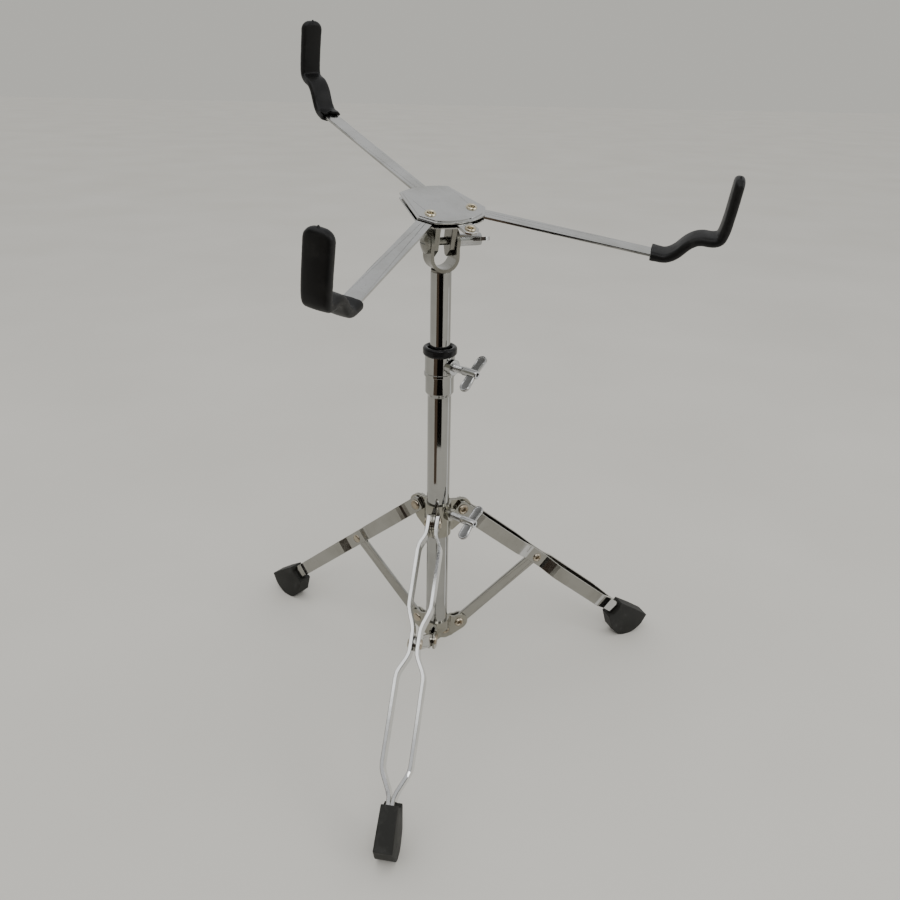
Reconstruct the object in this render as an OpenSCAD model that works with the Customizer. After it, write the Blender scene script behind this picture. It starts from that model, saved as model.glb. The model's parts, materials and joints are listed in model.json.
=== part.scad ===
// Snare drum stand: tripod base, telescoping mast, tilter and three-arm basket.
// Millimetres, +Z up, +X to the viewer's right, front leg towards -Y.

/* [Mast] */
// outside diameter of the lower tube
base_tube_d = 19.05; // [16:0.05:28]
// inside diameter of the lower tube
base_tube_bore = 16.7; // [14:0.1:25]
// height of the lower tube's bottom end
base_tube_bottom = 62; // [40:1:80]
// height of the lower tube's top end
base_tube_top = 319; // [260:1:400]
// outside diameter of the widened tube top
swage_d = 22.8; // [20:0.1:30]
// height where the widened part starts
swage_bottom = 288.5; // [240:0.5:380]
// outside diameter of the upper tube
upper_tube_d = 15.9; // [12:0.1:22]
// wall of the upper tube
upper_tube_wall = 1.2; // [0.8:0.1:2]
// height of the upper tube's bottom end inside the lower tube
upper_tube_bottom = 215; // [160:1:280]
// height of the upper tube's top end
upper_tube_top = 384; // [340:1:480]

/* [Height collar] */
// outside diameter of the clamp collar
collar_d = 23.7; // [20:0.1:32]
// height of the collar's lower edge
collar_bottom = 302.5; // [280:0.5:380]
// outside diameter of the collar's lower rim
collar_rim_d = 24.9; // [22:0.1:34]
// height of the rim band
collar_rim_h = 2.4; // [1.5:0.1:8]
// outside diameter of the rubber ring on the collar
ring_d = 26.8; // [22:0.1:36]
// height of the rubber ring
ring_h = 7; // [4:0.5:12]
// direction of the collar's wing screw
collar_screw_az = -42; // [-180:1:180]

/* [Leg hub] */
// height of the sliding hub's top edge
hub_top = 188.5; // [150:0.5:260]
// height of the sliding hub's bottom edge
hub_bottom = 158; // [120:0.5:240]
// distance of every leg and brace pivot from the mast axis
pivot_r = 21.2; // [18:0.1:30]
// height of the leg pivots
leg_pivot_z = 179; // [140:0.5:250]
// direction of the hub's wing screw
hub_screw_az = -38; // [-180:1:180]
// height of the hub's wing screw
hub_screw_z = 180; // [140:0.5:250]

/* [Legs] */
// direction of the front leg
front_leg_az = -99.7; // [-180:0.1:180]
// slope of the legs below the horizontal
leg_angle = 41; // [20:0.5:80]
// width of a leg strip
strip_w = 12.7; // [10:0.1:20]
// thickness of a leg strip
strip_t = 3; // [1.5:0.1:4]
// distance along the leg from its pivot to the brace rivet
brace_rivet_s = 100; // [60:0.5:140]
// half spread of the upper leg section, to the strip's middle
upper_spread = 8.9; // [4:0.1:14]
// half spread of the lower leg section, to the strip's middle
lower_spread = 10.7; // [4:0.1:16]
// length of a leg strip beyond its pivot
strip_len = 229; // [160:1:320]

/* [Braces and lower hub] */
// height of the brace pivots on the lower hub
brace_pivot_z = 58; // [30:0.5:90]
// width of a brace bar
brace_w = 11.6; // [8:0.1:16]
// thickness of a brace bar
brace_t = 2.2; // [1.5:0.1:4]
// height of the lower hub's bottom edge
lower_hub_bottom = 41.5; // [20:0.5:70]
// height of the lower hub's top edge
lower_hub_top = 69.5; // [50:0.5:100]

/* [Tilter] */
// height of the tilter bolt
tilt_z = 406; // [360:1:500]
// direction of the tilter bolt
tilt_az = 22; // [-90:1:90]
// forward tilt of the basket
tilt_angle = 16.7; // [-40:0.1:40]
// outside width of the yoke
yoke_w = 22.8; // [16:0.1:32]
// thickness of the yoke strip
yoke_t = 2.6; // [2:0.1:4]
// radius of the yoke's round cheeks
cheek_r = 9.4; // [7:0.1:14]
// diameter of the tilter bolt
tilt_bolt_d = 6; // [5:0.5:8]

/* [Basket] */
// twist of the basket plates on the bracket
basket_twist = 11; // [-30:1:30]
// height of the arms' top face above the tilter bolt
arm_top = 24.1; // [18:0.1:34]
// distance from the bolt to the plates' middle, across the bolt
plate_shift = 7.2; // [0:0.1:15]
// thickness of the top and bottom plates
plate_t = 1.8; // [1.2:0.1:3]
// width of a basket arm
arm_w = 12; // [9:0.1:18]
// thickness of a basket arm
arm_t = 2; // [1.5:0.1:4]
// length from an arm's pivot to its rubber sleeve
arm_len = 131.3; // [90:1:180]
// distance from the plates' middle to the rear arm's sleeve
rear_arm_len = 180; // [120:1:240]
// direction of the front arm on the plates
front_arm_angle = 217.9; // [180:0.5:260]
// direction of the right arm on the plates
right_arm_angle = -46; // [-80:0.5:0]
// half distance between the arm pivots
arm_pivot_x = 17.4; // [12:0.1:24]
// distance of the arm pivots in front of the plates' middle
arm_pivot_y = 12.1; // [4:0.1:20]
// thickness of a rubber sleeve
sleeve_t = 6.6; // [5:0.1:10]
// width of a rubber sleeve
sleeve_w = 17.5; // [14:0.1:24]

/* [Hidden] */
// bounding box centre moved to the origin
frame_x = -18.1;
frame_y = 15.8;

leg_az = [front_leg_az, front_leg_az + 120, front_leg_az + 240];
run = 0.06;    // radial running clearance of a pin
gap = 0.3;     // side clearance of parts that move
rivet_d = 5;
rivet_head_d = 9;
rivet_head_h = 1.6;
screw_d = 6;

// sheet stampings
hub_sheet = 1.8;
hub_ear_in = 0.2;
hub_bore_r = base_tube_d / 2 + 0.075;
hub_ear_r = 8.6;
low_sheet = 1.6;
low_ear_in = brace_t / 2 + gap;
low_ear_r = 8.2;
low_inner_r = 8.5;
low_inner_z = 51;
joggle_r = 13.2;

// leg strip, middle line as [distance along leg, offset from leg plane]
hub_off = hub_ear_in + hub_sheet + gap + strip_t / 2;
mid_off = brace_t / 2 + gap + strip_t / 2;
end_off = strip_t / 2 + 0.05;
strip_path = [
    [-strip_w / 2 - 1, hub_off],
    [12, hub_off],
    [21, upper_spread],
    [73, upper_spread],
    [89, mid_off],
    [109, mid_off],
    [124, lower_spread],
    [192.5, lower_spread],
    [210.8, end_off],
    [strip_len, end_off]
];
strip_end = strip_w / 2 - 0.3;
strip_chamfer = 2.1;
brace_rivet_d = 4.4;
brace_rivet = [
    pivot_r + brace_rivet_s * cos(leg_angle),
    leg_pivot_z - brace_rivet_s * sin(leg_angle)
];
brace_run = brace_rivet[0] - pivot_r;
brace_rise = brace_rivet[1] - brace_pivot_z;
brace_len = sqrt(brace_run * brace_run + brace_rise * brace_rise);
brace_angle = atan2(brace_rise, brace_run);
brace_open_hole_d = 8;

// foot side view as [distance from mast axis, height]; the front foot is shorter than the other two
foot_side = [
    [182.2, 25.7],
    [195.7, 38.6],
    [227.0, 17.6],
    [221.0, 6.8],
    [210.5, 0],
    [196.5, 0],
    [187.5, 9.0]
];
front_foot_side = [
    [176.5, 30.8],
    [189.7, 42.9],
    [213.2, 21.6],
    [207.8, 8.2],
    [202.0, 0],
    [191.0, 0],
    [181.0, 10.5]
];
foot_top_w = 12.4;
foot_sole_w = 15.4;

// tilter
bracket_w = yoke_w - 2 * yoke_t - 0.8;
bracket_t = 4;
bracket_depth = 14;
bracket_top = arm_top - arm_t - 0.2 - plate_t;
yoke_floor_z = upper_tube_top + yoke_w / 2;
yoke_depth = 16.4;
bolt_head_d = 17;
bolt_head_rim = 2;
bolt_head_h = 3;
bolt_end = 25;

// basket plates
plate_gap = 0.2;
plate_side = [[-19.4, 33.3], [-28.8, -13.5], [-17.4, -29.6], [17.4, -29.6], [28.8, -13.5], [19.4, 33.3]];
back_arc_r = 48.3;
back_arc_y = -18;
front_arc_r = 46.6;
front_arc_y = 17.1;
panel_scale = 0.93;
panel_h = 0.7;
arm_rivet_d = 6;
arm_rivet_head_d = 8.6;
tail_y = -43.5;
tail_rivet_y = -37.5;

// arm end, middle line as [distance from sleeve start, height above arm's middle]
hook_path = [[0, 0], [14, 0], [25, 18.4], [40.5, 18.4], [43.6, 25], [41, 59.5]];
hook_end = hook_path[len(hook_path) - 1];
sleeve_corner_r = 6;
sleeve_top = 63.5;
sleeve_tip = hook_end + (sleeve_top + 1 - hook_end[1]) * (hook_end - hook_path[len(hook_path) - 2])
    / (hook_end[1] - hook_path[len(hook_path) - 2][1]);
sleeve_path = eased([for (i = [0 : len(hook_path) - 1]) i == len(hook_path) - 1 ? sleeve_tip : hook_path[i]], 4);

$fn = 96;

// ---------- placing ----------

module in_frame() {
    translate([frame_x, frame_y, 0]) children();
}

// leg plane: X away from the mast, Z up
module at_leg(i) {
    in_frame() rotate([0, 0, leg_az[i % 3]]) children();
}

// along a leg: X down the leg from its pivot, Y across, Z square to the leg
module on_leg(i) {
    at_leg(i) translate([pivot_r, 0, leg_pivot_z]) rotate([0, leg_angle, 0]) children();
}

// tilting head: origin on the bolt, X along the bolt
module on_head() {
    in_frame() translate([0, 0, tilt_z]) rotate([0, 0, tilt_az]) rotate([tilt_angle, 0, 0]) children();
}

// basket plates: origin at the arms' top face, Y along the rear arm
module on_plates() {
    on_head() translate([0, plate_shift, arm_top]) rotate([0, 0, basket_twist]) children();
}

module on_arm(x, y, angle) {
    on_plates() translate([x, y, 0]) rotate([0, 0, angle]) children();
}

// ---------- shared shapes ----------

// bar of 2D shape standing in the X-Z plane, centred on Y
module slab(t) {
    rotate([90, 0, 0]) linear_extrude(height = t, center = true) children();
}

// path with each inner corner cut back by up to c and rounded with two chords
function eased(path, c) = [
    for (i = [0 : len(path) - 1])
        if (i == 0 || i == len(path) - 1) path[i]
        else for (p = corner(path[i - 1], path[i], path[i + 1], c)) p
];
function corner(a, b, d, c) =
    let (p = b + (a - b) * min(c / norm(a - b), 0.4), q = b + (d - b) * min(c / norm(d - b), 0.4))
    [p, (p + 2 * b + q) / 4, q];

// point k of a path moved sideways by w, mitred at the bends
function along(path, k) = (path[k + 1] - path[k]) / norm(path[k + 1] - path[k]);
function left_of(v) = [-v[1], v[0]];
function mitre(path, k, w) =
    let (
        n = len(path),
        a = left_of(along(path, max(k - 1, 0))),
        b = left_of(along(path, min(k, n - 2)))
    )
    path[k] + w * (a + b) / (1 + a * b);

// 2D band of width t along a path
module band(path, t) {
    n = len(path);
    polygon(concat(
        [for (k = [0 : n - 1]) mitre(path, k, t / 2)],
        [for (k = [n - 1 : -1 : 0]) mitre(path, k, -t / 2)]
    ));
}

module dome(d, h) {
    r = (d * d / 4 + h * h) / (2 * h);
    intersection() {
        translate([0, 0, h - r]) sphere(r = r);
        cylinder(d = d, h = h);
    }
}

// rivet along Y with a domed head on each side
module rivet(d, grip, head_d, head_h) {
    rotate([90, 0, 0]) {
        cylinder(d = d, h = grip, center = true);
        for (s = [0, 180]) {
            rotate([s, 0, 0]) translate([0, 0, grip / 2]) dome(head_d, head_h);
        }
    }
}

// barrel along +X from x1 to x2 with two wings flaring outwards
module wings(barrel_d, x1, x2, turn, wing_flare) {
    wing_t = 2.6;
    wing_w = 8.6;
    wing_reach = 16.5;
    wing_x = x2 - wing_w / 2 - 0.5;
    rotate([0, 90, 0]) translate([0, 0, x1]) cylinder(d = barrel_d, h = x2 - x1);
    for (s = [0, 180]) {
        rotate([turn + s, 0, 0]) translate([wing_x, 0, 0]) rotate([0, wing_flare, 0]) slab(wing_t) {
            translate([-wing_w / 2 + 1, 0]) square([wing_w - 2, wing_reach - wing_w / 2]);
            translate([0, wing_reach - wing_w / 2]) circle(d = wing_w);
        }
    }
}

// wing screw along +X with its shank's tip at x0
module wing_screw(x0, x1, x2, turn) {
    rotate([0, 90, 0]) translate([0, 0, x0]) cylinder(d = screw_d, h = x1 - x0 + 1);
    wings(7, x1, x2, turn, 3);
}

// ---------- mast ----------

module base_tube() {
    color("silver") in_frame() difference() {
        union() {
            translate([0, 0, base_tube_bottom]) cylinder(d = base_tube_d, h = swage_bottom - base_tube_bottom);
            translate([0, 0, swage_bottom - 3]) cylinder(d1 = base_tube_d, d2 = swage_d, h = 3);
            translate([0, 0, swage_bottom]) cylinder(d = swage_d, h = collar_bottom - swage_bottom);
            translate([0, 0, swage_bottom]) cylinder(d = collar_bore(), h = base_tube_top - swage_bottom);
        }
        translate([0, 0, base_tube_bottom - 1]) cylinder(d = base_tube_bore, h = base_tube_top);
        translate([0, 0, swage_bottom]) cylinder(d = bush_d(), h = base_tube_top);
        rotate([0, 0, collar_screw_az]) collar_screw_hole(0.4);
    }
}

function collar_bore() = swage_d - 1.4;
function bush_d() = collar_bore() - 2.4;
function collar_screw_z() = (collar_bottom + base_tube_top) / 2 + 0.9;

module collar_screw_hole(slack) {
    translate([0, 0, collar_screw_z()]) rotate([0, 90, 0]) cylinder(d = screw_d + 2 * slack, h = collar_d);
}

module height_bush() {
    lip = 2.1;
    color("black") in_frame() difference() {
        union() {
            translate([0, 0, swage_bottom]) cylinder(d = bush_d(), h = base_tube_top - swage_bottom);
            rotate_extrude() translate([0, base_tube_top]) {
                translate([ring_d / 2 - lip, lip]) circle(r = lip);
                translate([ring_d / 2 - lip, ring_h - lip]) circle(r = lip);
                translate([ring_d / 2 - 2 * lip, lip]) square([2 * lip, ring_h - 2 * lip]);
                translate([upper_tube_d / 2, 0]) square([ring_d / 2 - lip - upper_tube_d / 2, lip]);
            }
        }
        translate([0, 0, swage_bottom - 1]) cylinder(d = upper_tube_d + 0.18, h = base_tube_top);
        rotate([0, 0, collar_screw_az]) collar_screw_hole(0.4);
    }
}

module height_collar() {
    boss_d = 12.4;
    boss_end = 15.6;
    color("silver") in_frame() difference() {
        union() {
            translate([0, 0, collar_bottom]) cylinder(d = collar_d, h = base_tube_top - collar_bottom);
            translate([0, 0, collar_bottom]) cylinder(d = collar_rim_d, h = collar_rim_h);
            rotate([0, 0, collar_screw_az]) translate([0, 0, collar_screw_z()]) rotate([0, 90, 0])
                cylinder(d = boss_d, h = boss_end);
        }
        translate([0, 0, collar_bottom - 1]) cylinder(d = collar_bore(), h = base_tube_top);
        rotate([0, 0, collar_screw_az]) collar_screw_hole(run);
    }
}

module collar_wing_screw() {
    color("silver") in_frame() rotate([0, 0, collar_screw_az]) translate([0, 0, collar_screw_z()])
        wing_screw(upper_tube_d / 2 + 0.4, 24.5, 38.5, -50);
}

module upper_tube() {
    color("silver") in_frame() difference() {
        translate([0, 0, upper_tube_bottom]) cylinder(d = upper_tube_d, h = upper_tube_top - upper_tube_bottom);
        translate([0, 0, upper_tube_bottom - 1])
            cylinder(d = upper_tube_d - 2 * upper_tube_wall, h = upper_tube_top);
    }
}

// ---------- lower hub ----------

// side view of one flange, in the leg plane
module low_flange_side() {
    translate([low_inner_r, low_inner_z]) circle(r = low_ear_r);
    translate([pivot_r, brace_pivot_z]) circle(r = low_ear_r);
    polygon([
        [1.2, low_inner_z - low_ear_r + 1.5],
        [low_inner_r, low_inner_z - low_ear_r],
        [pivot_r + 4.2, brace_pivot_z - low_ear_r + 1.1],
        [pivot_r - 4, brace_pivot_z + low_ear_r - 0.7],
        [base_tube_d / 2 + 0.1, lower_hub_top - 2.5],
        [base_tube_d / 2 + 0.1, base_tube_bottom - 1],
        [1.2, base_tube_bottom - 1]
    ]);
}

// flange on the +Y side of the leg plane, joggled out to clear the brace
module low_flange() {
    intersection() {
        translate([0, 0, lower_hub_bottom]) linear_extrude(height = lower_hub_top - lower_hub_bottom) polygon([
            [1.2, 0.1],
            [joggle_r, 0.1],
            [joggle_r + 2, low_ear_in],
            [pivot_r + 10, low_ear_in],
            [pivot_r + 10, low_ear_in + low_sheet],
            [joggle_r + 1, low_ear_in + low_sheet],
            [joggle_r - 1, 0.1 + low_sheet],
            [1.2, 0.1 + low_sheet]
        ]);
        slab(4 * low_ear_in + 4 * low_sheet) low_flange_side();
    }
}

module lower_hub_plate(i) {
    web_r = 2.2;
    web_w = 7;
    color("silver") difference() {
        union() {
            at_leg(i) low_flange();
            at_leg(i + 1) mirror([0, 1, 0]) low_flange();
            // band round the end of the tube
            at_leg(i) translate([0, 0, base_tube_bottom - 5]) rotate([0, 0, 0.6]) rotate_extrude(angle = 118.8)
                translate([base_tube_d / 2 + 0.05, 0]) square([low_sheet, lower_hub_top - base_tube_bottom + 3]);
            // web below the tube
            in_frame() rotate([0, 0, leg_az[i] + 60]) translate([web_r, -web_w / 2, lower_hub_bottom + 3])
                cube([low_sheet, web_w, base_tube_bottom - 6 - lower_hub_bottom]);
        }
        for (j = [i, i + 1]) {
            at_leg(j) {
                translate([low_inner_r, 0, low_inner_z]) rotate([90, 0, 0])
                    cylinder(d = 4, h = 20, center = true);
                translate([pivot_r, 0, brace_pivot_z]) rotate([90, 0, 0])
                    cylinder(d = rivet_d, h = 20, center = true);
            }
        }
    }
}

module lower_hub_plate_a() {
    lower_hub_plate(0);
}

module lower_hub_plate_b() {
    lower_hub_plate(1);
}

module lower_hub_plate_c() {
    lower_hub_plate(2);
}

module lower_hub_rivets() {
    color("silver") for (i = [0 : 2]) {
        at_leg(i) translate([low_inner_r, 0, low_inner_z]) rivet(4, 2 * (0.1 + low_sheet), 7, 1.2);
    }
}

module brace_pivot_rivets() {
    color("silver") for (i = [0 : 2]) {
        at_leg(i) translate([pivot_r, 0, brace_pivot_z])
            rivet(rivet_d, 2 * (low_ear_in + low_sheet), rivet_head_d, rivet_head_h);
    }
}

// ---------- sliding leg hub ----------

module hub_flange_side() {
    translate([pivot_r, leg_pivot_z]) circle(r = hub_ear_r);
    polygon([
        [hub_bore_r - 1, hub_bottom + 0.5],
        [hub_bore_r + 3.3, hub_bottom + 0.5],
        [pivot_r + 0.8, leg_pivot_z - hub_ear_r - 5],
        [pivot_r + hub_ear_r - 1.2, leg_pivot_z - 3],
        [pivot_r - 1, leg_pivot_z + hub_ear_r - 0.4],
        [hub_bore_r + 2.6, hub_top - 0.5],
        [hub_bore_r - 1, hub_top - 0.5]
    ]);
}

module leg_hub_plate(i) {
    boss = i == 0;
    color("silver") difference() {
        union() {
            at_leg(i) rotate([0, 0, 4]) rotate_extrude(angle = 112)
                translate([hub_bore_r - 1, hub_bottom]) square([hub_sheet + 1, hub_top - hub_bottom]);
            for (m = [0, 1]) {
                at_leg(i + m) mirror([0, m, 0]) translate([0, hub_ear_in + hub_sheet / 2, 0])
                    slab(hub_sheet) hub_flange_side();
            }
            if (boss) {
                in_frame() rotate([0, 0, hub_screw_az]) translate([hub_bore_r + 0.5, 0, hub_screw_z])
                    rotate([0, 90, 0]) cylinder(d = 11, h = 5);
            }
        }
        for (j = [i, i + 1]) {
            at_leg(j) translate([pivot_r, 0, leg_pivot_z]) rotate([90, 0, 0])
                cylinder(d = rivet_d, h = 20, center = true);
        }
        if (boss) {
            in_frame() rotate([0, 0, hub_screw_az]) translate([0, 0, hub_screw_z])
                rotate([0, 90, 0]) cylinder(d = screw_d + 2 * run, h = 30);
        }
        in_frame() translate([0, 0, hub_bottom - 1]) cylinder(r = hub_bore_r, h = hub_top);
    }
}

module leg_hub_plate_a() {
    leg_hub_plate(0);
}

module leg_hub_plate_b() {
    leg_hub_plate(1);
}

module leg_hub_plate_c() {
    leg_hub_plate(2);
}

module leg_pivot_rivets() {
    color("silver") for (i = [0 : 2]) {
        at_leg(i) translate([pivot_r, 0, leg_pivot_z])
            rivet(rivet_d, 2 * (hub_off + strip_t / 2 + gap), rivet_head_d, rivet_head_h);
    }
}

module hub_wing_screw() {
    color("silver") in_frame() rotate([0, 0, hub_screw_az]) translate([0, 0, hub_screw_z])
        wing_screw(base_tube_d / 2 + 0.4, 26, 39, -56);
}

// ---------- legs ----------

module leg_strip(i, side) {
    half = strip_w / 2;
    cut = strip_chamfer;
    color("silver") on_leg(i) mirror([0, side, 0]) difference() {
        intersection() {
            translate([0, 0, -half]) linear_extrude(height = strip_w) band(eased(strip_path, 4), strip_t);
            slab(60) polygon([
                [-strip_end, -half + cut],
                [-strip_end + cut, -half],
                [strip_len + 1, -half],
                [strip_len + 1, half],
                [-strip_end + cut, half],
                [-strip_end, half - cut]
            ]);
        }
        rotate([90, 0, 0]) cylinder(d = rivet_d + 2 * run, h = 60, center = true);
        translate([brace_rivet_s, 0, 0]) rotate([90, 0, 0]) cylinder(d = brace_rivet_d, h = 60, center = true);
    }
}

module leg_rivet(i) {
    color("silver") on_leg(i) translate([brace_rivet_s, 0, 0])
        rivet(brace_rivet_d, 2 * (mid_off + strip_t / 2), 8.4, 1.5);
}

module foot(i) {
    side = i == 0 ? front_foot_side : foot_side;
    top_z = side[1][1];
    color("black") difference() {
        at_leg(i) intersection() {
            slab(foot_sole_w) polygon(side);
            rotate([90, 0, 90]) linear_extrude(height = 300) polygon([
                [-foot_top_w / 2, top_z],
                [foot_top_w / 2, top_z],
                [foot_sole_w / 2, 0],
                [-foot_sole_w / 2, 0]
            ]);
        }
        on_leg(i) translate([150, -end_off - strip_t / 2, -strip_w / 2])
            cube([strip_len - 150, 2 * end_off + strip_t, strip_w]);
    }
}

module front_leg_strip_left() {
    leg_strip(0, 1);
}

module front_leg_strip_right() {
    leg_strip(0, 0);
}

module front_leg_rivet() {
    leg_rivet(0);
}

module front_foot() {
    foot(0);
}

module right_leg_strip_left() {
    leg_strip(1, 1);
}

module right_leg_strip_right() {
    leg_strip(1, 0);
}

module right_leg_rivet() {
    leg_rivet(1);
}

module right_foot() {
    foot(1);
}

module left_leg_strip_left() {
    leg_strip(2, 1);
}

module left_leg_strip_right() {
    leg_strip(2, 0);
}

module left_leg_rivet() {
    leg_rivet(2);
}

module left_foot() {
    foot(2);
}

// ---------- braces ----------

module brace(i) {
    color("silver") at_leg(i) translate([pivot_r, 0, brace_pivot_z]) rotate([0, -brace_angle, 0]) difference() {
        slab(brace_t) {
            circle(d = brace_w);
            translate([0, -brace_w / 2]) square([brace_len, brace_w]);
            translate([brace_len, 0]) circle(d = brace_w);
        }
        rotate([90, 0, 0]) cylinder(d = rivet_d + 2 * run, h = 10, center = true);
        translate([brace_len, 0, 0]) rotate([90, 0, 0]) cylinder(d = brace_open_hole_d, h = 10, center = true);
    }
}

module front_brace() {
    brace(0);
}

module right_brace() {
    brace(1);
}

module left_brace() {
    brace(2);
}

// ---------- tilter ----------

module tilter_yoke() {
    inner = yoke_w / 2 - yoke_t;
    plug_h = 14;
    color("silver") in_frame() rotate([0, 0, tilt_az]) difference() {
        union() {
            intersection() {
                slab(40) difference() {
                    union() {
                        translate([0, yoke_floor_z]) circle(d = yoke_w);
                        translate([-yoke_w / 2, yoke_floor_z]) square([yoke_w, 40]);
                    }
                    translate([0, yoke_floor_z]) circle(r = inner);
                    translate([-inner, yoke_floor_z]) square([2 * inner, 41]);
                }
                rotate([90, 0, 90]) linear_extrude(height = 60, center = true) {
                    translate([0, tilt_z]) circle(r = cheek_r);
                    translate([-yoke_depth / 2, upper_tube_top]) square([yoke_depth, tilt_z - upper_tube_top]);
                }
            }
            translate([0, 0, upper_tube_top - plug_h])
                cylinder(d = upper_tube_d - 2 * upper_tube_wall, h = plug_h + 1.5);
            translate([0, 0, upper_tube_top]) cylinder(d = upper_tube_d - 0.6, h = 1.5);
        }
        translate([0, 0, tilt_z]) rotate([0, 90, 0]) cylinder(d = tilt_bolt_d + 0.1, h = 60, center = true);
    }
}

module tilter_bolt() {
    slot_w = 1.4;
    color("silver") in_frame() translate([0, 0, tilt_z]) rotate([0, 0, tilt_az]) difference() {
        union() {
            translate([-yoke_w / 2, 0, 0]) rotate([0, 90, 0]) cylinder(d = tilt_bolt_d, h = yoke_w / 2 + bolt_end);
            translate([-yoke_w / 2, 0, 0]) rotate([0, -90, 0]) {
                cylinder(d = bolt_head_d, h = bolt_head_rim);
                translate([0, 0, bolt_head_rim - 0.2]) dome(bolt_head_d - 0.4, bolt_head_h);
            }
        }
        translate([-yoke_w / 2 - bolt_head_rim - bolt_head_h - 1, -20, -slot_w / 2]) cube([2.6, 40, slot_w]);
    }
}

module tilter_wing_nut() {
    turn = 79;
    nut_from = yoke_w / 2 + gap;
    color("silver") in_frame() translate([0, 0, tilt_z]) rotate([0, 0, tilt_az]) difference() {
        wings(9.4, nut_from, nut_from + 19, turn, 13);
        translate([nut_from - 1, 0, 0]) rotate([0, 90, 0])
            cylinder(d = tilt_bolt_d + 2 * run, h = bolt_end - nut_from + 1.5);
    }
}

module tilter_bracket() {
    inner = bracket_w / 2 - bracket_t;
    half = bracket_depth / 2;
    color("silver") on_head() difference() {
        intersection() {
            slab(40) difference() {
                translate([-bracket_w / 2, -20]) square([bracket_w, 20 + bracket_top]);
                translate([-inner, -21]) square([2 * inner, 21 + bracket_top - bracket_t]);
            }
            rotate([90, 0, 90]) linear_extrude(height = 60, center = true) polygon([
                [-half, bracket_top],
                [-half, -4],
                [-1.5, -11.8],
                [1.5, -11.8],
                [half, -4],
                [half, bracket_top]
            ]);
        }
        rotate([0, 90, 0]) cylinder(d = tilt_bolt_d + 2 * run, h = 60, center = true);
    }
}

// ---------- basket plates ----------

module plate_outline() {
    intersection() {
        polygon(plate_side);
        translate([0, back_arc_y]) circle(r = back_arc_r);
        translate([0, front_arc_y]) circle(r = front_arc_r);
    }
}

module arm_rivet_holes() {
    for (x = [-arm_pivot_x, arm_pivot_x]) {
        translate([x, -arm_pivot_y, 0]) cylinder(d = arm_rivet_d, h = 40, center = true);
    }
}

module basket_top_plate() {
    color("silver") on_plates() difference() {
        translate([0, 0, plate_gap]) {
            linear_extrude(height = plate_t - panel_h) plate_outline();
            linear_extrude(height = plate_t) scale(panel_scale) plate_outline();
        }
        arm_rivet_holes();
    }
}

module basket_bottom_plate() {
    color("silver") on_plates() difference() {
        translate([0, 0, -arm_t - plate_gap]) mirror([0, 0, 1]) {
            linear_extrude(height = plate_t - panel_h) plate_outline();
            linear_extrude(height = plate_t) scale(panel_scale) plate_outline();
        }
        arm_rivet_holes();
    }
}

module arm_pivot_rivets() {
    grip = arm_t + 2 * plate_gap + 2 * plate_t;
    color("goldenrod") on_plates() for (x = [-arm_pivot_x, arm_pivot_x]) {
        translate([x, -arm_pivot_y, -arm_t / 2]) rotate([90, 0, 0])
            rivet(arm_rivet_d, grip, arm_rivet_head_d, 1.3);
    }
}

// ---------- arms and sleeves ----------

// steel side view, X from the sleeve start, Y up
function steel_path(from) = eased([for (i = [0 : len(hook_path) - 1]) i == 0 ? [from, 0] : hook_path[i]], 4);

// flat bar with its bent end, reaching back by from
module arm_steel(reach, from) {
    translate([reach, 0, -arm_t / 2]) slab(arm_w) band(steel_path(-from), arm_t);
}

module pivoted_arm(angle, side) {
    color("silver") on_arm(side * arm_pivot_x, -arm_pivot_y, angle) difference() {
        union() {
            translate([0, 0, -arm_t]) cylinder(d = arm_w, h = arm_t);
            arm_steel(arm_len, arm_len);
        }
        cylinder(d = arm_rivet_d + 2 * run, h = 20, center = true);
    }
}

// rubber cover over a bent arm end
module sleeve(reach) {
    w = sleeve_w / 2;
    c = sleeve_corner_r;
    translate([reach, 0, -arm_t / 2]) difference() {
        intersection() {
            slab(sleeve_w) band(sleeve_path, sleeve_t);
            rotate([90, 0, 90]) linear_extrude(height = 200, center = true) polygon([
                [-w, -10],
                [w, -10],
                [w, sleeve_top - c],
                [w - 0.3 * c, sleeve_top - 0.3 * c],
                [w - c, sleeve_top],
                [-w + c, sleeve_top],
                [-w + 0.3 * c, sleeve_top - 0.3 * c],
                [-w, sleeve_top - c]
            ]);
        }
        slab(arm_w) band(steel_path(-6), arm_t);
    }
}

module front_arm() {
    pivoted_arm(front_arm_angle, -1);
}

module front_arm_sleeve() {
    color("black") on_arm(-arm_pivot_x, -arm_pivot_y, front_arm_angle) sleeve(arm_len);
}

module right_arm() {
    pivoted_arm(right_arm_angle, 1);
}

module right_arm_sleeve() {
    color("black") on_arm(arm_pivot_x, -arm_pivot_y, right_arm_angle) sleeve(arm_len);
}

module rear_arm() {
    chamfer = 3.6;
    color("silver") on_plates() difference() {
        union() {
            translate([0, 0, -arm_t]) linear_extrude(height = arm_t) polygon([
                [-arm_w / 2 + chamfer, tail_y],
                [arm_w / 2 - chamfer, tail_y],
                [arm_w / 2, tail_y + chamfer],
                [arm_w / 2, rear_arm_len - 50],
                [-arm_w / 2, rear_arm_len - 50],
                [-arm_w / 2, tail_y + chamfer]
            ]);
            rotate([0, 0, 90]) arm_steel(rear_arm_len, 60);
        }
        translate([0, tail_rivet_y, 0]) cylinder(d = 5, h = 20, center = true);
    }
}

module rear_arm_sleeve() {
    color("black") on_plates() rotate([0, 0, 90]) sleeve(rear_arm_len);
}

module rear_arm_stop_rivet() {
    color("goldenrod") on_plates() translate([0, tail_rivet_y, -arm_t / 2]) rotate([90, 0, 0])
        rivet(5, arm_t, 8, 1.4);
}

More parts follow.
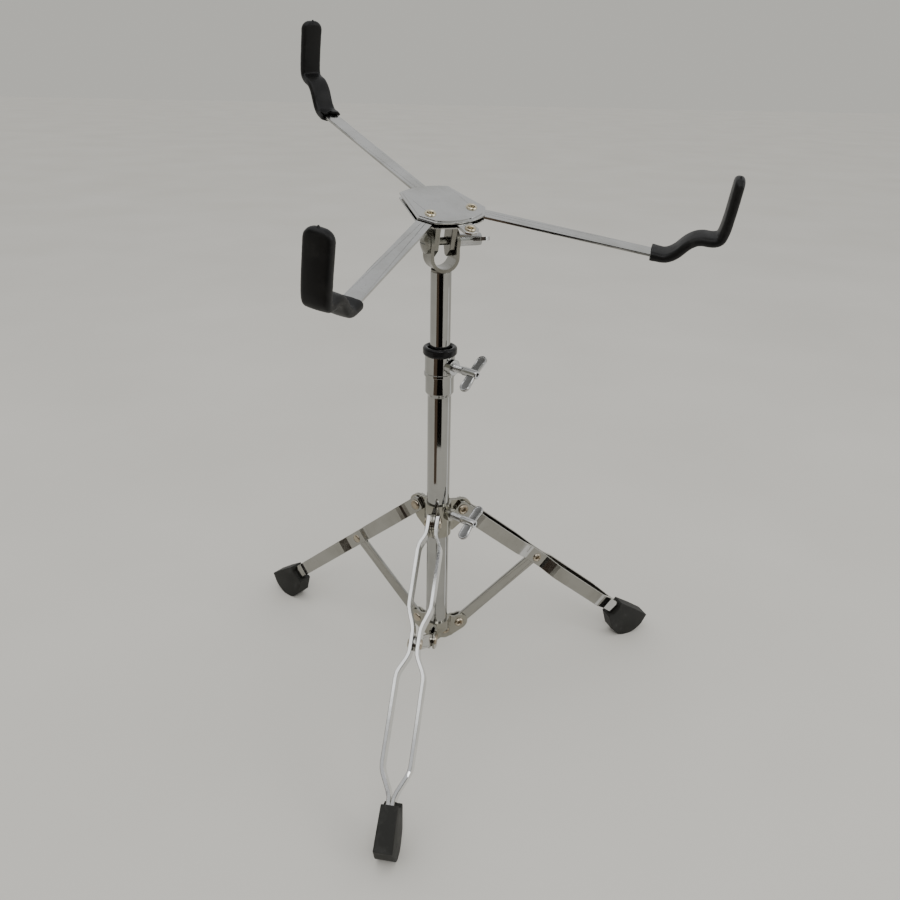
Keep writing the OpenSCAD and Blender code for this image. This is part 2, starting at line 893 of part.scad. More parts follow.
base_tube();
height_bush();
height_collar();
collar_wing_screw();
lower_hub_plate_a();
lower_hub_plate_b();
lower_hub_plate_c();
lower_hub_rivets();
brace_pivot_rivets();
leg_hub_plate_a();
leg_hub_plate_b();
leg_hub_plate_c();
leg_pivot_rivets();
hub_wing_screw();
front_leg_strip_left();
front_leg_strip_right();
front_leg_rivet();
front_foot();
right_leg_strip_left();
right_leg_strip_right();
right_leg_rivet();
right_foot();
left_leg_strip_left();
left_leg_strip_right();
left_leg_rivet();
left_foot();
front_brace();
right_brace();
left_brace();
upper_tube();
tilter_yoke();
tilter_bolt();
tilter_wing_nut();
tilter_bracket();
basket_bottom_plate();
basket_top_plate();
arm_pivot_rivets();
front_arm();
front_arm_sleeve();
right_arm();
right_arm_sleeve();
rear_arm();
rear_arm_sleeve();
rear_arm_stop_rivet();
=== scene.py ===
"""Looks of the snare drum stand: materials, detailed rubber and hardware pieces, light and camera."""

import json
import math
import random

import bmesh
import bpy
from mathutils import Matrix, Vector, noise

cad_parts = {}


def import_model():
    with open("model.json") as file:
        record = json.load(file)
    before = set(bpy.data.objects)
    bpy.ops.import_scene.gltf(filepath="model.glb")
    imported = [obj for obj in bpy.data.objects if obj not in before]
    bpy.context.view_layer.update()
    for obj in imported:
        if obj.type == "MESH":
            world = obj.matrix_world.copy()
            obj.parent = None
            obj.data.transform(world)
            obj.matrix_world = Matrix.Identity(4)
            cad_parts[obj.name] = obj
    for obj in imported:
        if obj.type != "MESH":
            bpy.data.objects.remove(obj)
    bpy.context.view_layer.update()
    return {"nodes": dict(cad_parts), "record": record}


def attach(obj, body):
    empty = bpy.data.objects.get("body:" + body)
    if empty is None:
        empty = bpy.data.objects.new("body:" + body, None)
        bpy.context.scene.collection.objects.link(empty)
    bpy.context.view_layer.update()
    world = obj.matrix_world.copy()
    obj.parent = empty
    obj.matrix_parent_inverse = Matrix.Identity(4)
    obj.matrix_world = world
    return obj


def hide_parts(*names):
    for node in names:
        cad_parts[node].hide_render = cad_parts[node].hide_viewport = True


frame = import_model()
nodes = frame["nodes"]

MM = 0.001


# ---------- frames, the same as the CAD's, lengths in millimetres ----------


def move(x, y, z):
    return Matrix.Translation(Vector((x, y, z)) * MM)


def turn(degrees, axis):
    return Matrix.Rotation(math.radians(degrees), 4, axis)


MAST = move(-18.1, 15.8, 0)
LEG_AZ = {"front": -99.7, "right": 20.3, "left": 140.3}
PIVOT_R = 21.2
LEG_PIVOT_Z = 179
LEG_ANGLE = 41
BRACE_PIVOT_Z = 58
HEAD = MAST @ move(0, 0, 406) @ turn(22, "Z") @ turn(16.7, "X")
PLATES = HEAD @ move(0, 7.2, 24.1) @ turn(11, "Z")
SLEEVES = {
    "front": PLATES @ move(-17.4, -12.1, 0) @ turn(217.9, "Z") @ move(131.3, 0, -1),
    "right": PLATES @ move(17.4, -12.1, 0) @ turn(-46, "Z") @ move(131.3, 0, -1),
    "rear": PLATES @ turn(90, "Z") @ move(180, 0, -1),
}


def leg_plane(name):
    return MAST @ turn(LEG_AZ[name], "Z")


def on_leg(name):
    return leg_plane(name) @ move(PIVOT_R, 0, LEG_PIVOT_Z) @ turn(LEG_ANGLE, "Y")


# ---------- materials ----------


class Graph:
    """A material's node tree with short calls."""

    def __init__(self, name):
        self.material = bpy.data.materials.new(name)
        self.material.use_nodes = True
        self.tree = self.material.node_tree
        self.shader = self.tree.nodes["Principled BSDF"]
        self.place = self.add("ShaderNodeTexCoord").outputs["Object"]

    def add(self, kind, **values):
        made = self.tree.nodes.new(kind)
        for key, value in values.items():
            setattr(made, key, value)
        return made

    def link(self, a, b):
        self.tree.links.new(a, b)

    def stretched(self, scale):
        mapping = self.add("ShaderNodeMapping")
        mapping.inputs["Scale"].default_value = scale
        self.link(self.place, mapping.inputs["Vector"])
        return mapping.outputs["Vector"]

    def noise(self, scale, detail=3.0, rough=0.5, vector=None):
        made = self.add("ShaderNodeTexNoise")
        made.inputs["Scale"].default_value = scale
        made.inputs["Detail"].default_value = detail
        made.inputs["Roughness"].default_value = rough
        self.link(vector or self.place, made.inputs["Vector"])
        return made.outputs["Fac"]

    def ramp(self, value, low, high, to_low=0.0, to_high=1.0):
        made = self.add("ShaderNodeMapRange")
        for key, number in zip(("From Min", "From Max", "To Min", "To Max"), (low, high, to_low, to_high)):
            made.inputs[key].default_value = number
        self.link(value, made.inputs["Value"])
        return made.outputs["Result"]

    def math(self, operation, a, b):
        made = self.add("ShaderNodeMath", operation=operation)
        for socket, value in zip(made.inputs, (a, b)):
            if isinstance(value, (int, float)):
                socket.default_value = value
            else:
                self.link(value, socket)
        return made.outputs["Value"]

    def mix(self, factor, a, b):
        made = self.add("ShaderNodeMix", data_type="RGBA")
        self.link(factor, made.inputs["Factor"])
        for socket, value in zip((made.inputs[6], made.inputs[7]), (a, b)):
            if isinstance(value, tuple):
                socket.default_value = (*value, 1)
            else:
                self.link(value, socket)
        return made.outputs[2]

    def colour(self, socket):
        self.link(socket, self.shader.inputs["Base Color"])

    def rough(self, socket):
        self.link(socket, self.shader.inputs["Roughness"])

    def bump(self, height, strength, distance, under=None):
        made = self.add("ShaderNodeBump")
        made.inputs["Strength"].default_value = strength
        made.inputs["Distance"].default_value = distance
        self.link(height, made.inputs["Height"])
        if under:
            self.link(under, made.inputs["Normal"])
        self.link(made.outputs["Normal"], self.shader.inputs["Normal"])
        return made.outputs["Normal"]


def plated(name, clean, dull, grime, roughness, tarnish, grain, ripple):
    """Plated metal: clean plate, duller patches, dark specks in the tarnished places, fine scratches."""
    g = Graph(name)
    g.shader.inputs["Metallic"].default_value = 1.0
    patches = g.ramp(g.noise(38, 5, 0.6), 0.42, 0.72)
    specks = g.ramp(g.noise(900, 2, 0.5), 0.66, 0.74)
    dirty = g.math("MULTIPLY", specks, g.ramp(g.noise(55, 3), 0.46, 0.62, 0, tarnish))
    smear = g.ramp(g.noise(160, 4, 0.65, g.stretched((1, 1, 0.25))), 0.35, 0.75)
    tone = g.mix(patches, clean, dull)
    g.colour(g.mix(dirty, tone, grime))
    base = g.math("ADD", g.math("MULTIPLY", patches, roughness * 0.9), roughness * 0.7)
    base = g.math("ADD", base, g.math("MULTIPLY", smear, roughness * 0.6))
    g.rough(g.math("ADD", base, g.math("MULTIPLY", dirty, 0.3)))
    waves = g.bump(g.noise(70, 1), ripple, 0.0006)
    scratches = g.noise(420, 3, 0.7, g.stretched((1, 1, 0.06)))
    fine = g.math("ADD", g.math("MULTIPLY", scratches, 0.5), g.math("MULTIPLY", g.noise(1600, 2), grain))
    g.bump(fine, 0.10 + grain * 0.15, 0.00005, waves)
    return g.material


def rubber(name, dark, dusty, dust, roughness, grain):
    """Black rubber with a fine moulded grain and rubbed, dusty places."""
    g = Graph(name)
    g.shader.inputs["Specular IOR Level"].default_value = 0.22
    rubbed = g.ramp(g.noise(75, 5, 0.65), 0.48, 0.70)
    streaks = g.ramp(g.noise(260, 5, 0.7, g.stretched((1, 1, 0.35))), 0.50, 0.74, 0, dust)
    g.colour(g.mix(g.math("MULTIPLY", rubbed, g.math("ADD", streaks, dust * 0.4)), dark, dusty))
    g.rough(g.math("ADD", roughness, g.math("MULTIPLY", rubbed, 0.16)))
    lumps = g.bump(g.noise(130, 3), 0.25, 0.0005)
    g.bump(g.noise(1500, 3, 0.6), grain, 0.0001, lumps)
    return g.material


# clean plate, duller patches, grime, roughness, tarnish, grain, ripple
PLATED = {
    "chrome": ((0.48, 0.48, 0.47), (0.38, 0.38, 0.36), (0.10, 0.08, 0.05), 0.09, 0.6, 0.25, 0.12),
    "tube_chrome": ((0.37, 0.37, 0.355), (0.32, 0.32, 0.305), (0.12, 0.09, 0.06), 0.05, 0.3, 0.1, 0.05),
    # brighter copy of the chrome: painted light on the front leg strips
    "front_chrome_painted_light": ((0.66, 0.66, 0.65), (0.54, 0.54, 0.52), (0.10, 0.08, 0.05), 0.09, 0.6, 0.25, 0.12),
    # darker copy of the chrome: painted shade on the other leg strips and the braces
    "leg_chrome": ((0.345, 0.34, 0.315), (0.28, 0.275, 0.25), (0.10, 0.08, 0.05), 0.09, 0.6, 0.25, 0.12),
    "hub_chrome": ((0.33, 0.32, 0.28), (0.24, 0.23, 0.19), (0.07, 0.05, 0.03), 0.12, 0.9, 0.5, 0.2),
    "cast_chrome": ((0.50, 0.50, 0.50), (0.36, 0.36, 0.35), (0.10, 0.08, 0.06), 0.14, 0.7, 1.0, 0.3),
    # dark copy of the cast chrome for the wings' sunk faces: painted shade in the recesses
    "cast_recess_painted_shade": ((0.20, 0.20, 0.195), (0.10, 0.10, 0.095), (0.05, 0.04, 0.03), 0.30, 1.0, 1.0, 0.5),
    "dull_nickel": ((0.24, 0.235, 0.21), (0.18, 0.17, 0.145), (0.07, 0.05, 0.03), 0.20, 0.9, 0.9, 0.3),
    "aged_nickel": ((0.44, 0.39, 0.31), (0.27, 0.21, 0.14), (0.05, 0.03, 0.02), 0.24, 1.0, 1.0, 0.3),
    "rivet_brass": ((0.60, 0.54, 0.41), (0.44, 0.38, 0.27), (0.10, 0.07, 0.04), 0.22, 1.0, 1.0, 0.3),
}
# rubber, dusty places, dust, roughness, grain
RUBBER = {
    "sleeve_rubber": ((0.004, 0.004, 0.004), (0.030, 0.028, 0.024), 0.4, 0.42, 0.25),
    "foot_rubber": ((0.014, 0.014, 0.012), (0.055, 0.055, 0.052), 0.8, 0.55, 0.5),
    "ring_rubber": ((0.004, 0.004, 0.004), (0.012, 0.012, 0.012), 0.4, 0.24, 0.15),
}
MATERIALS = {name: plated(name, *row) for name, row in PLATED.items()}
MATERIALS |= {name: rubber(name, *row) for name, row in RUBBER.items()}
# finishes that differ from the node's slot, by part of the node's name, first match; the front leg strip's
# brighter chrome is painted light, the darker chrome of the other leg strips and of the braces is painted
# shade
SPECIAL = {
    "base_tube": "tube_chrome",
    "upper_tube": "tube_chrome",
    "height_collar": "tube_chrome",
    "hub_plate": "hub_chrome",
    "front_leg_strip": "front_chrome_painted_light",
    "leg_strip": "leg_chrome",
    "brace": "leg_chrome",
}


# ---------- mesh helpers ----------


def piece(name, vertices, faces, matrix, body, finish, slot=None, stands_for=(), sharp=32):
    """A closed mesh from points in millimetres in a local frame, riding on a body."""
    mesh = bpy.data.meshes.new(name)
    mesh.from_pydata([Vector(v) * MM for v in vertices], [], faces)
    mesh.transform(matrix)
    work = bmesh.new()
    work.from_mesh(mesh)
    bmesh.ops.remove_doubles(work, verts=work.verts, dist=1e-7)
    bmesh.ops.recalc_face_normals(work, faces=work.faces)
    work.to_mesh(mesh)
    work.free()
    for polygon in mesh.polygons:
        polygon.use_smooth = True
    mesh.set_sharp_from_angle(angle=math.radians(sharp))
    mesh.materials.append(MATERIALS[finish])
    made = bpy.data.objects.new(name, mesh)
    bpy.context.scene.collection.objects.link(made)
    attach(made, body)
    if stands_for:
        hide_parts(*stands_for)
    return made


BEVEL_ANGLE = 28


def bevel(obj, width, segments):
    """Rounds the sharp edges, width in millimetres."""
    made = obj.modifiers.new("edges", "BEVEL")
    made.width = width * MM
    made.segments = segments
    made.limit_method = "ANGLE"
    made.angle_limit = math.radians(BEVEL_ANGLE)
    made.use_clamp_overlap = True


def loft(rings, close_start=True, close_end=True):
    """Quads between rings of equal count, with flat caps."""
    count = len(rings[0])
    vertices = [p for ring in rings for p in ring]
    faces = []
    for k in range(len(rings) - 1):
        for j in range(count):
            a, b = k * count + j, k * count + (j + 1) % count
            faces.append((a, b, b + count, a + count))
    if close_start:
        faces.append(tuple(range(count))[::-1])
    if close_end:
        faces.append(tuple(range((len(rings) - 1) * count, len(rings) * count)))
    return vertices, faces


def lathe(profile, count=32):
    """Rings about the local Z axis from (radius, height) pairs, for loft()."""
    angles = [2 * math.pi * j / count for j in range(count)]
    return [[(r * math.cos(a), r * math.sin(a), h) for a in angles] for r, h in profile]


def joined(*parts):
    """Several (vertices, faces) as one."""
    vertices, faces = [], []
    for v, f in parts:
        base = len(vertices)
        vertices += list(v)
        faces += [tuple(base + i for i in face) for face in f]
    return vertices, faces


def placed(part, matrix):
    """(vertices, faces) in millimetres moved by a matrix whose shift is in metres."""
    v, f = part
    shift = matrix.translation / MM
    turned = matrix.to_3x3()
    return [tuple(turned @ Vector(p) + shift) for p in v], f


def eased(path, rounds=3, cut=0.25):
    """A path with its corners cut, ends kept."""
    for _ in range(rounds):
        out = [path[0]]
        for a, b in zip(path, path[1:]):
            out.append(a.lerp(b, cut))
            out.append(a.lerp(b, 1 - cut))
        out.append(path[-1])
        path = out
    return path


def resampled(path, step):
    """Points at equal steps along a path."""
    out, rest = [path[0]], step
    for a, b in zip(path, path[1:]):
        length = (b - a).length
        while rest <= length:
            out.append(a.lerp(b, rest / length))
            rest += step
        rest -= length
    if (out[-1] - path[-1]).length > step * 0.3:
        out.append(path[-1])
    return out


# ---------- rubber sleeves ----------


def rounded_section(w, t, r, crown=0.25, corner=6, side=5):
    """Points round a rounded rectangle, half width w along Y and half thickness t along the normal."""
    out = []
    r = min(r, w, t)
    for quarter, (sy, sn) in enumerate(((1, 1), (-1, 1), (-1, -1), (1, -1))):
        for k in range(corner + 1):
            a = math.radians(90 * quarter + 90 * k / corner)
            out.append((sy * (w - r) + r * math.cos(a), sn * (t - r) + r * math.sin(a)))
        if quarter in (0, 2):
            for k in range(1, side + 1):
                u = k / (side + 1)
                y = sy * (w - r) * (1 - 2 * u)
                out.append((y, sn * (t + crown * math.sin(math.pi * u))))
    return out


# middle line of the sleeve along the bent arm end: outwards, upwards
SLEEVE_PATH = [(0, 0), (14, 0), (25, 18.4), (40.5, 18.4), (43.6, 25), (40.75, 63.4)]
FRAY_REACH = 9
# point of the lip's outline: depth of the tear there
TEARS = {3: 4.5, 9: 2.8, 15: 3.6, 21: 5.2, 27: 2.4, 33: 4.2}


def sleeve(name, torn, seed):
    """Rubber cover pulled over a bent arm end, hollow where the arm enters."""
    rng = random.Random(seed)
    path = resampled(eased([Vector(p) for p in SLEEVE_PATH], 4), 1.1)
    lengths = [0.0]
    for a, b in zip(path, path[1:]):
        lengths.append(lengths[-1] + (b - a).length)
    total = lengths[-1]
    half_w, half_t, corner = 8.75, 3.3, 3.0
    round_w, round_t = 6.5, 2.9
    rings = []
    steps = [total * k / 76 for k in range(72)]
    steps += [total - d for d in (4.3, 3.2, 2.3, 1.5, 0.9, 0.4, 0.1, 0.0)]
    steps = sorted(set(steps))

    def at(s):
        for k in range(len(lengths) - 1):
            if lengths[k + 1] >= s:
                break
        u = (s - lengths[k]) / max(lengths[k + 1] - lengths[k], 1e-9)
        lo, hi = max(k - 1, 0), min(k + 2, len(path) - 1)
        return path[k].lerp(path[k + 1], u), (path[hi] - path[lo]).normalized()

    count = len(rounded_section(1, 1, 0.5))
    jag = [rng.uniform(-0.25, 0.25) for _ in range(count)]
    if torn:
        for j in range(count):
            jag[j] = max(d - abs(j - c) * 1.5 for c, d in TEARS.items())
            jag[j] = max(jag[j], 0) + rng.uniform(-0.2, 0.5)
    for s in steps:
        d = total - s
        w, t = half_w, half_t
        w *= 1 + 0.015 * noise.noise(Vector((s * 0.11, seed, 0))) + 0.02 * math.exp(-((s - 1.5) / 2.2) ** 2)
        t *= 1 + 0.035 * noise.noise(Vector((s * 0.16, seed, 5))) + 0.05 * math.exp(-((s - 1.5) / 2.0) ** 2)
        if d < round_w:
            w -= round_w - math.sqrt(max(round_w**2 - (round_w - d) ** 2, 0))
        if d < round_t:
            t -= 0.92 * (round_t - math.sqrt(max(round_t**2 - (round_t - d) ** 2, 0)))
        ring = []
        for j, (y, n) in enumerate(rounded_section(w, t, min(corner, t))):
            pull = jag[j] * max(0.0, 1 - s / FRAY_REACH) ** 2
            centre, along = at(min(max(s + pull, 0), total))
            normal = Vector((-along.y, along.x))
            swell = 1 + 0.012 * noise.noise(Vector((s * 0.5, y * 0.4, n * 0.4 + seed)))
            p = centre + normal * n * swell
            ring.append((p.x, y * swell, p.y))
        rings.append(ring)
    # lip and the tunnel that the arm runs into
    inner = []
    for depth, w, t in ((7.5, 6.1, 1.1), (1.6, 6.4, 1.35), (0.5, 6.9, 1.9), (0.05, 7.6, 2.6)):
        ring = []
        for j, (y, n) in enumerate(rounded_section(w, t, min(1.0, t), 0.0)):
            s = depth + jag[j] * max(0.0, 1 - depth / FRAY_REACH) ** 2
            centre, along = at(max(s, 0))
            normal = Vector((-along.y, along.x))
            p = centre + normal * n
            ring.append((p.x, y, p.y))
        inner.append(ring)
    part = loft(inner + rings)
    centre, along = at(total)
    nub = [(0.0, 1.1), (0.35, 1.02), (0.65, 0.65), (1.0, 0.15), (1.5, -0.35), (1.6, -1.0)]
    cone = loft(lathe(nub, 12))
    tip = move(centre.x, -0.8, centre.y) @ turn(math.degrees(math.atan2(along.x, along.y)), "Y")
    part = joined(part, placed(cone, tip))
    piece(name + "_hook_cover", *part, SLEEVES[name], name + "_arm_body", "sleeve_rubber",
          stands_for=[name + "_arm_sleeve"], sharp=55)


sleeve("front", False, 3)
sleeve("right", False, 8)
sleeve("rear", True, 5)


# ---------- rubber feet ----------


# side views as (distance from the mast axis, height): two of the mouth, the tip, four of the sole
SIDE_FOOT = [
    (182.2, 25.7), (195.7, 38.6), (227.0, 17.6),
    (221.0, 6.8), (210.5, 0.0), (196.5, 0.0), (187.5, 9.0),
]
FRONT_FOOT = [
    (176.5, 30.8), (189.7, 42.9), (213.2, 21.6),
    (207.8, 8.2), (202.0, 0.0), (191.0, 0.0), (181.0, 10.5),
]


def foot(name, profile):
    """Wedge foot with tabs at the corners of its mouth and a rounded sole."""
    mouth_a, mouth_b, tip, *sole = [Vector(p) for p in profile]
    down = Vector((math.cos(math.radians(LEG_ANGLE)), -math.sin(math.radians(LEG_ANGLE))))
    outline = [
        mouth_a,
        mouth_a.lerp(mouth_b, 0.10),
        mouth_a.lerp(mouth_b, 0.22) + down * 2.4,
        mouth_a.lerp(mouth_b, 0.72) + down * 2.4,
        mouth_a.lerp(mouth_b, 0.84) + down * 0.4,
        mouth_b,
    ]
    ridge = mouth_b.lerp(tip, 0.5) + Vector((0.25, 0.35))
    curve = eased([tip + Vector((-1.0, -1.8)), *sole], 2, 0.2)[1:-1]
    outline += [ridge, tip, *curve, sole[-1], sole[-1].lerp(mouth_a, 0.5)]
    rings = []
    centre = sum(outline, Vector((0, 0))) / len(outline)
    for side, shrink in ((-1, 0.06), (-1, 0.0), (-0.33, 0.0), (0.33, 0.0), (1, 0.0), (1, 0.06)):
        ring = []
        for p in outline:
            q = p.lerp(centre, shrink)
            half = 7.7 - 1.5 * q.y / mouth_b.y
            bulge = 0.35 if shrink else 0.0
            ring.append((q.x, side * half + math.copysign(bulge, side), q.y))
        rings.append(ring)
    part = loft(rings)
    made = piece(name + "_rubber_foot", *part, leg_plane(name), name + "_leg", "foot_rubber",
                 stands_for=[name + "_foot"], sharp=25)
    bevel(made, 0.55, 3)


for leg in LEG_AZ:
    foot(leg, FRONT_FOOT if leg == "front" else SIDE_FOOT)


# ---------- wing screws ----------


WING_REACH = 16.5
WING_WIDTH = 8.6
WING_THICK = 2.6
WING_ROOT = 1.6
WING_FLARE = 3
BARREL_R = 3.5
# points round a wing's outline, which tells its two sunk faces from all others
ROUND_POINTS = 13
WING_POINTS = ROUND_POINTS + 6


def wing(x):
    """One wing: a paddle with a raised rim round a sunk face."""
    reach, width, root = WING_REACH, WING_WIDTH, WING_ROOT
    outline = [(-width * 0.42, root), (-width * 0.46, reach * 0.35), (-width * 0.49, reach * 0.62)]
    centre_z = reach - width / 2
    for k in range(ROUND_POINTS):
        a = math.radians(180 - 15 * k)
        outline.append((width / 2 * math.cos(a), centre_z + width / 2 * math.sin(a)))
    outline += [(width * 0.49, reach * 0.62), (width * 0.46, reach * 0.35), (width * 0.42, root)]
    middle = Vector((0, reach * 0.55))

    def ring(y, inset):
        out = []
        for p in outline:
            q = Vector(p)
            d = middle - q
            q += d.normalized() * min(inset, d.length * 0.8)
            out.append((q.x, y, q.y))
        return out

    h = WING_THICK / 2
    layers = [(h - 0.55, 1.55), (h - 0.5, 1.25), (h, 0.95), (h, 0.55), (h - 0.35, 0.1), (0.3, 0.0)]
    rings = [ring(-y, inset) for y, inset in layers] + [ring(y, inset) for y, inset in layers[::-1]]
    return placed(loft(rings), move(x, 0, 0) @ turn(WING_FLARE, "Y"))


def screw(shank_from, barrel_from, barrel_to, angle):
    """Wing screw along +X: threaded shank, barrel with a blind end hole, two wings."""
    profile = [(0.0, shank_from), (2.4, shank_from)]
    x = shank_from + 0.5
    while x < barrel_from - 0.6:
        profile += [(3.0, x), (2.96, x + 0.25), (2.62, x + 0.5), (2.66, x + 0.7)]
        x += 1.0
    profile += [(2.8, barrel_from - 0.3), (2.8, barrel_from + 1.5), (0.0, barrel_from + 1.5)]
    shank = loft(lathe(profile, 28))
    r = BARREL_R
    profile = [
        (0.0, barrel_from), (r - 0.7, barrel_from), (r - 0.2, barrel_from + 0.25), (r, barrel_from + 0.9),
        (r * 0.97, (barrel_from + barrel_to) / 2), (r, barrel_to - 1.0), (r - 0.15, barrel_to - 0.4),
        (r - 0.6, barrel_to), (1.7, barrel_to), (1.45, barrel_to - 0.3),
        (1.35, barrel_to - 4.5), (0.0, barrel_to - 5.2),
    ]
    whole = placed(joined(shank, loft(lathe(profile, 32))), turn(90, "Y"))
    one = wing(barrel_to - WING_WIDTH / 2 - 0.5)
    wings = joined(one, placed(one, turn(180, "X")))
    return joined(whole, placed(wings, turn(angle, "X")))


# direction from the mast, height, (shank start, barrel start, barrel end), turn of the wings
SCREWS = {
    "collar": (-42, 311.65, (8.35, 24.5, 38.5), -50),
    "hub": (-38, 180, (9.93, 26, 39), -56),
}
for name, (azimuth, height, lengths, angle) in SCREWS.items():
    place = MAST @ turn(azimuth, "Z") @ move(0, 0, height)
    made = piece(name + "_wing_screw_cast", *screw(*lengths, angle), place, name + "_screw", "cast_chrome",
                 stands_for=[name + "_wing_screw"], sharp=38)
    # the wings' sunk faces take the dark copy of the cast chrome: painted shade in the recesses
    made.data.materials.append(MATERIALS["cast_recess_painted_shade"])
    for face in made.data.polygons:
        if len(face.vertices) == WING_POINTS:
            face.material_index = 1


# ---------- tubular rivets ----------


def rivet(r, h, grip, hole, pin):
    """Tubular rivet along local Z: rolled head with a hole on one side, domed head on the other."""
    top = grip / 2
    profile = [
        (0.0, top - 1.4), (hole * 0.8, top - 1.3), (hole, top - 0.2), (hole * 1.12, top + h * 0.55),
        (hole * 1.5, top + h * 0.92), ((hole + r) * 0.55, top + h), (r * 0.82, top + h * 0.8),
        (r * 0.96, top + h * 0.4), (r, top + 0.05), (r * 0.99, top), (pin, top),
        (pin, -top), (r * 0.99, -top), (r, -top - 0.05), (r * 0.93, -top - h * 0.42),
        (r * 0.72, -top - h * 0.8), (r * 0.4, -top - h * 0.98), (0.0, -top - h),
    ]
    return loft(lathe(profile, 28), False, False)


def rivets(name, node, body, slot, places, size):
    """Equal rivets as one piece, in place of a CAD node."""
    parts = [placed(rivet(*size), place) for place in places]
    finish = "aged_nickel" if slot == "dull_nickel" else slot
    piece(name, *joined(*parts), Matrix.Identity(4), body, finish, slot, [node], 40)


# head radius, head height, grip, hole radius, pin radius
LEG_PIVOT_RIVET = (4.5, 1.5, 11.2, 1.9, 2.5)
BRACE_PIVOT_RIVET = (4.5, 1.5, 6.0, 1.7, 2.5)
LOWER_HUB_RIVET = (3.5, 1.1, 3.4, 1.2, 2.0)
LEG_RIVET = (4.2, 1.4, 8.8, 1.7, 2.2)
ARM_RIVET = (4.3, 1.2, 6.0, 2.2, 2.95)
STOP_RIVET = (4.0, 1.3, 2.0, 2.0, 2.5)
ACROSS = turn(90, "X")
rivets("leg_pivot_tubular_rivets", "leg_pivot_rivets", "leg_hub", "dull_nickel",
       [leg_plane(n) @ move(PIVOT_R, 0, LEG_PIVOT_Z) @ ACROSS for n in LEG_AZ], LEG_PIVOT_RIVET)
rivets("brace_pivot_tubular_rivets", "brace_pivot_rivets", "mast", "dull_nickel",
       [leg_plane(n) @ move(PIVOT_R, 0, BRACE_PIVOT_Z) @ ACROSS for n in LEG_AZ], BRACE_PIVOT_RIVET)
rivets("lower_hub_tubular_rivets", "lower_hub_rivets", "mast", "dull_nickel",
       [leg_plane(n) @ move(8.5, 0, 51) @ ACROSS for n in LEG_AZ], LOWER_HUB_RIVET)
for leg in LEG_AZ:
    rivets(leg + "_leg_tubular_rivet", leg + "_leg_rivet", leg + "_leg", "dull_nickel",
           [on_leg(leg) @ move(100, 0, 0) @ ACROSS], LEG_RIVET)
rivets("arm_pivot_rolled_rivets", "arm_pivot_rivets", "basket_head", "rivet_brass",
       [PLATES @ move(x, -12.1, -1) for x in (-17.4, 17.4)], ARM_RIVET)
rivets("rear_arm_rolled_rivet", "rear_arm_stop_rivet", "rear_arm_body", "rivet_brass",
       [PLATES @ move(0, -37.5, -1)], STOP_RIVET)


# ---------- CAD nodes: finishes and softened edges ----------

WELD_DISTANCE = 2e-6
SLOT_OF = {s["node"]: s["material_slot"] for s in frame["record"]["subparts"]}
# bevel width in millimetres, by part of the node's name, first match
EDGE = {
    "strip": 0.45, "brace": 0.35, "arm": 0.35, "plate": 0.3, "hub": 0.3, "yoke": 0.5, "bracket": 0.45,
    "tube": 0.25, "bolt": 0.3, "nut": 0.45, "collar": 0.4, "bush": 0.2,
}
for name, obj in nodes.items():
    finish = next((f for key, f in SPECIAL.items() if key in name), SLOT_OF[name])
    obj.data.materials.clear()
    obj.data.materials.append(MATERIALS[finish])
    if obj.hide_render:
        continue
    weld = obj.modifiers.new("weld", "WELD")
    weld.merge_threshold = WELD_DISTANCE
    width = next((w for key, w in EDGE.items() if key in name), 0.3)
    bevel(obj, width, 2)
    flats = obj.modifiers.new("flats", "WEIGHTED_NORMAL")
    flats.mode = "FACE_AREA"
    flats.keep_sharp = True


# ---------- stage, light and camera ----------


def floor():
    """Plain pale floor, 24 m square."""
    mesh = bpy.data.meshes.new("floor")
    side = 12
    corners = [(-side, -side, 0), (side, -side, 0), (side, side, 0), (-side, side, 0)]
    mesh.from_pydata(corners, [], [(0, 1, 2, 3)])
    made = bpy.data.objects.new("floor", mesh)
    bpy.context.scene.collection.objects.link(made)
    g = Graph("floor_paint")
    g.colour(g.mix(g.ramp(g.noise(3, 3), 0.3, 0.7), (0.545, 0.531, 0.488), (0.58, 0.566, 0.524)))
    g.shader.inputs["Roughness"].default_value = 0.75
    g.shader.inputs["Specular IOR Level"].default_value = 0.0
    g.bump(g.noise(60, 4), 0.05, 0.002)
    mesh.materials.append(g.material)


# what chrome mirrors level with it: degrees from the front, colour
PANELS = [
    (-180, (0.86, 0.86, 0.85)), (-105, (0.80, 0.80, 0.78)), (-92, (0.22, 0.22, 0.17)),
    (-70, (0.30, 0.29, 0.24)), (-52, (0.04, 0.03, 0.02)), (-28, (0.07, 0.05, 0.04)),
    (-12, (0.09, 0.07, 0.05)), (10, (0.06, 0.04, 0.03)), (15, (0.01, 0.01, 0.01)),
    (33, (0.02, 0.02, 0.02)), (39, (0.45, 0.47, 0.42)), (74, (0.66, 0.67, 0.64)),
    (80, (2.6, 2.6, 2.6)), (90, (2.6, 2.6, 2.6)), (97, (0.72, 0.72, 0.71)), (180, (0.86, 0.86, 0.85)),
]
CEILING = (0.84, 0.85, 0.87, 1)
ROOM_LIGHT = (0.98, 0.98, 0.98, 1)
BACKDROP = (0.53, 0.522, 0.485, 1)


